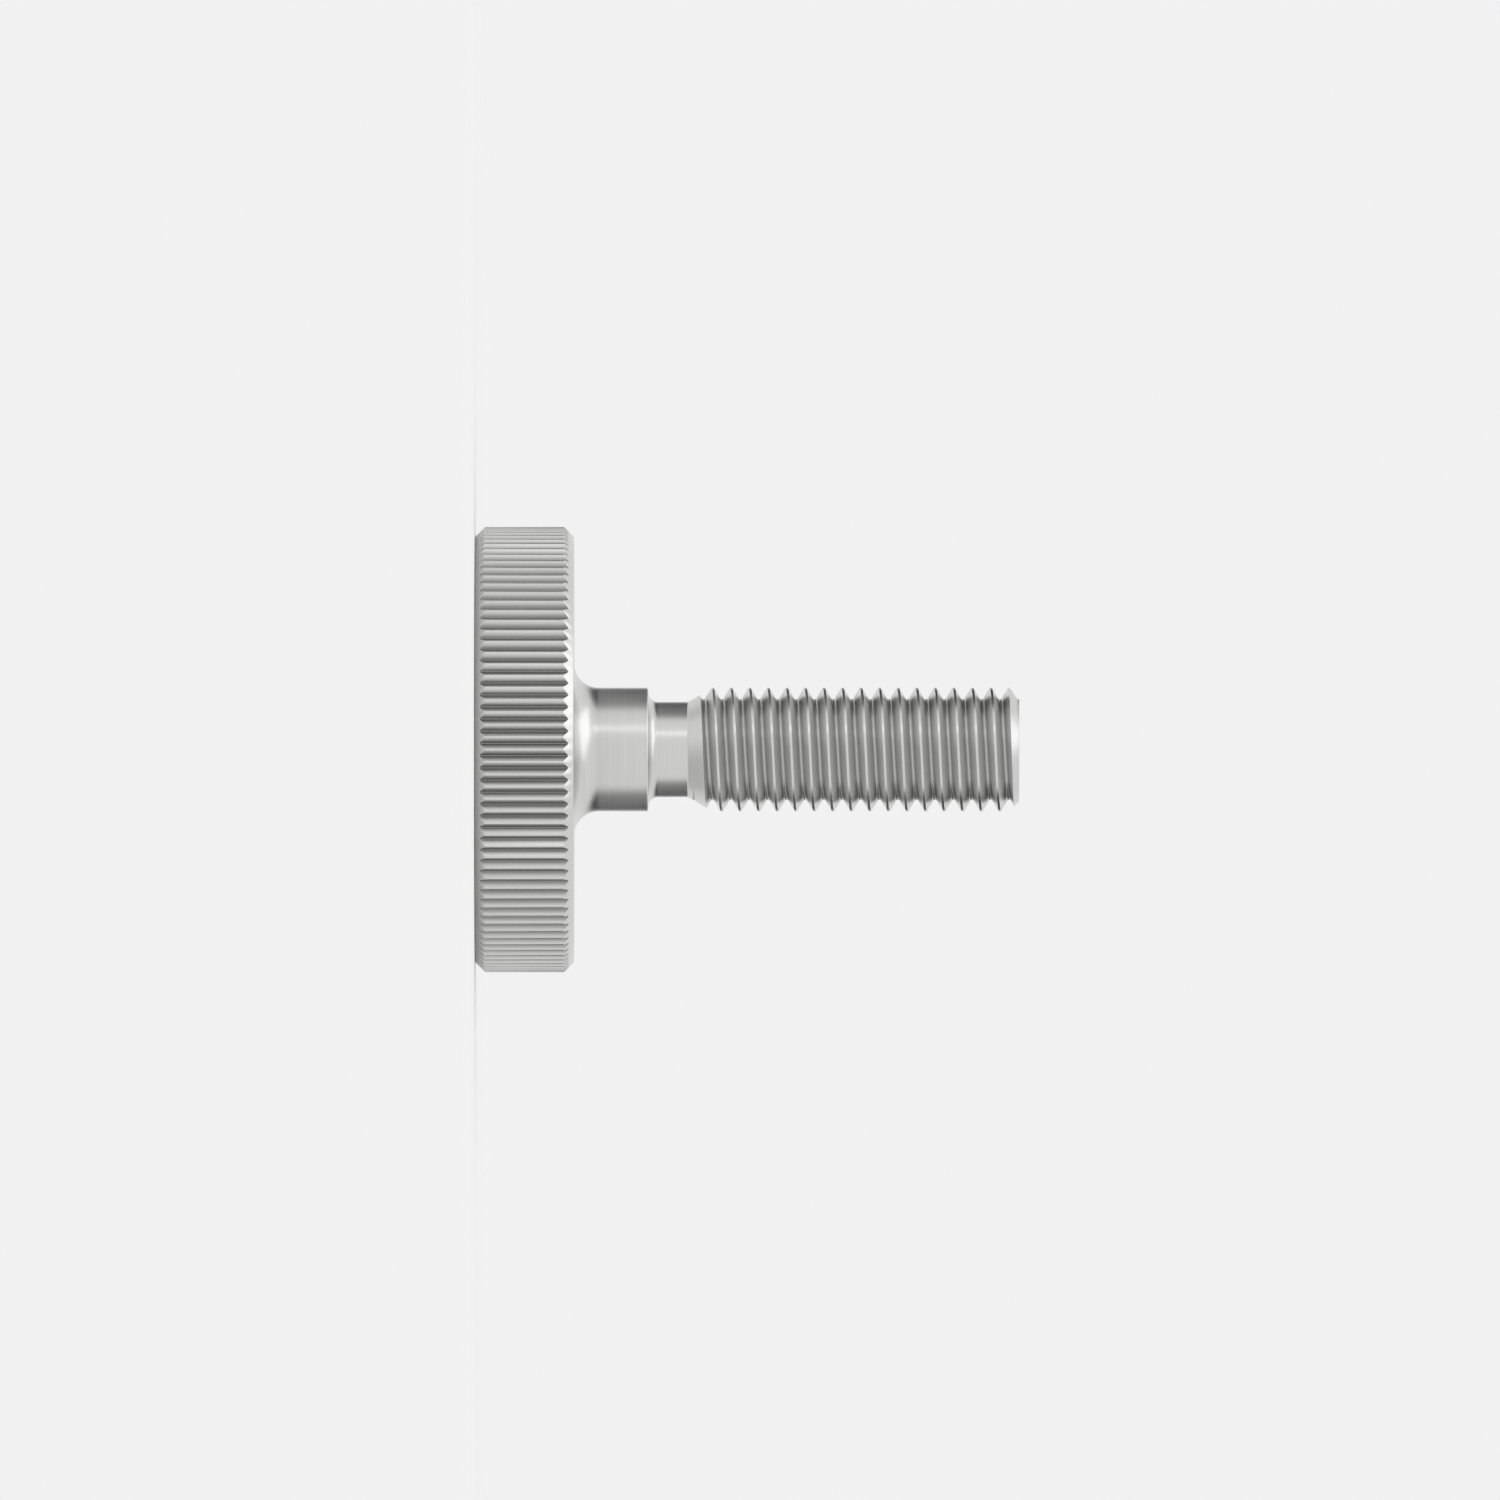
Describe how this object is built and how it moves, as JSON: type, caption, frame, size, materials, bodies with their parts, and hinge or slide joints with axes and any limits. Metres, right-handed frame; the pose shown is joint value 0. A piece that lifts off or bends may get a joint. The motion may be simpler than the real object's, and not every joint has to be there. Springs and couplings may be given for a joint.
{
  "type": "knurled thumb screw",
  "caption": "Thin knurled disc head on a filleted neck, with a thread undercut and a chamfered metric shank, for tightening by hand.",
  "frame": {"origin": "centre of the head's flat outer face, on which the screw stands", "axes": "+Z along the screw's axis, from the head to the tip; a crest of the knurl lies on each of +X, +Y, -X and -Y"},
  "size_m": [0.036, 0.036, 0.044],
  "materials": {
    "steel": "bright turned stainless steel, with fine lathe lines round the axis"
  },
  "bodies": {
    "root": {"thumb_screw": "steel"}
  },
  "joints": []
}
